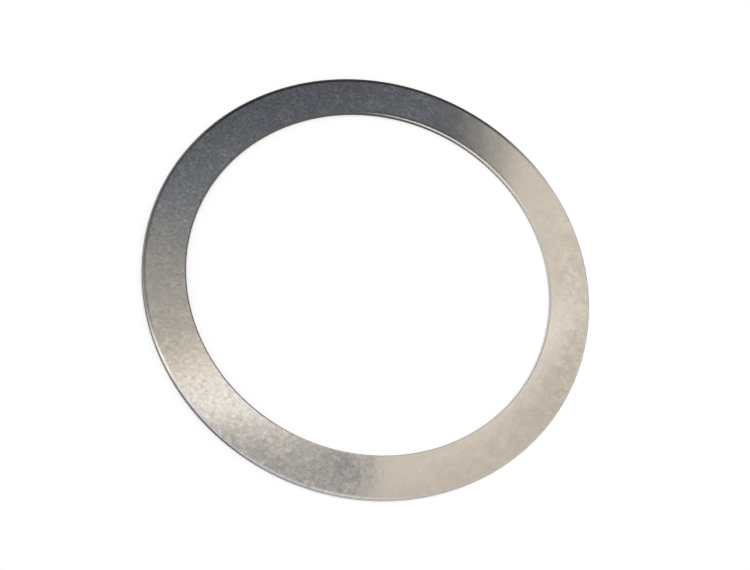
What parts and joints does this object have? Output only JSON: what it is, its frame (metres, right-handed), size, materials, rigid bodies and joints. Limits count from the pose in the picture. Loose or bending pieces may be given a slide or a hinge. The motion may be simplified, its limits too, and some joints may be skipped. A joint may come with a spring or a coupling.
{
  "type": "endplay shim",
  "caption": "Thin flat steel ring with a wide round bore, rolled upper edges and deburred lower edges, for setting shaft endplay.",
  "frame": {"origin": "on the ring's axis, in the plane of its lower face", "axes": "+Z along the ring's axis, out of the upper face, whose edges are rolled"},
  "size_m": [0.072, 0.072, 0.0008],
  "materials": {
    "bright_steel": "bright-rolled, satin"
  },
  "bodies": {
    "root": {"shim_ring": "bright_steel"}
  },
  "joints": []
}
